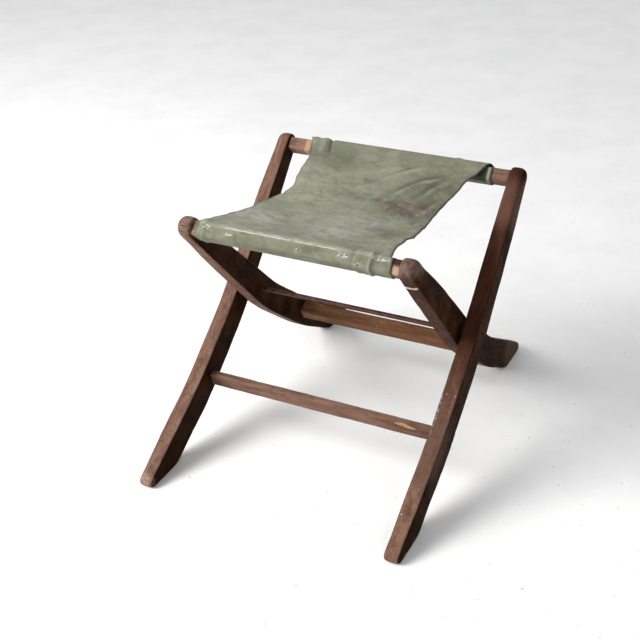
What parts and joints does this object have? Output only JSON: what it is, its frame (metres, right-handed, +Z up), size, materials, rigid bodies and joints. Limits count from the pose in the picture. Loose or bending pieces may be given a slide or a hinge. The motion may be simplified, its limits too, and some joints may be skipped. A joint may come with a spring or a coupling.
{
  "type": "folding camp stool",
  "caption": "Folding stool with two crossed curved wooden frames on a pivot rod and a sagging canvas seat wrapped round the end rails.",
  "frame": {"origin": "on the floor, under the middle of the open stool", "axes": "+Z up, +X across the width towards the sitter's left when facing the front, -Y towards the front"},
  "size_m": [0.45, 0.6508, 0.4192],
  "materials": {
    "stained_wood": "satin, worn dark stain",
    "green_canvas": "matt, coated canvas",
    "dark_steel": "dull, darkened",
    "tack_steel": "dull, darkened"
  },
  "bodies": {
    "outer_frame": {"outer_leg_left": "stained_wood", "outer_leg_right": "stained_wood", "rear_seat_rail": "stained_wood", "front_stretcher": "stained_wood", "seat_canvas": "green_canvas", "brad_rear_seat_rail_left": "dark_steel", "brad_rear_seat_rail_right": "dark_steel", "brad_front_stretcher_left": "dark_steel", "brad_front_stretcher_right": "dark_steel", "tack_rear_1": "tack_steel", "tack_rear_2": "tack_steel", "tack_rear_3": "tack_steel", "tack_rear_4": "tack_steel", "tack_rear_5": "tack_steel", "tack_rear_6": "tack_steel"},
    "inner_frame": {"inner_leg_left": "stained_wood", "inner_leg_right": "stained_wood", "front_seat_rail": "stained_wood", "rear_stretcher": "stained_wood", "pivot_rod": "dark_steel", "rod_nail_left": "dark_steel", "rod_nail_right": "dark_steel", "spacer_left": "dark_steel", "spacer_right": "dark_steel", "brad_front_seat_rail_left": "dark_steel", "brad_front_seat_rail_right": "dark_steel", "brad_rear_stretcher_left": "dark_steel", "brad_rear_stretcher_right": "dark_steel", "tack_front_1": "tack_steel", "tack_front_2": "tack_steel", "tack_front_3": "tack_steel", "tack_front_4": "tack_steel", "tack_front_5": "tack_steel", "tack_front_6": "tack_steel"}
  },
  "joints": [
    {"name": "fold", "type": "hinge", "parent": "outer_frame", "child": "inner_frame", "pos_m": [0, 0, 0.211], "axis": [-1, 0, 0], "range_deg": [0, 78], "deforming": ["seat_canvas"]}
  ]
}
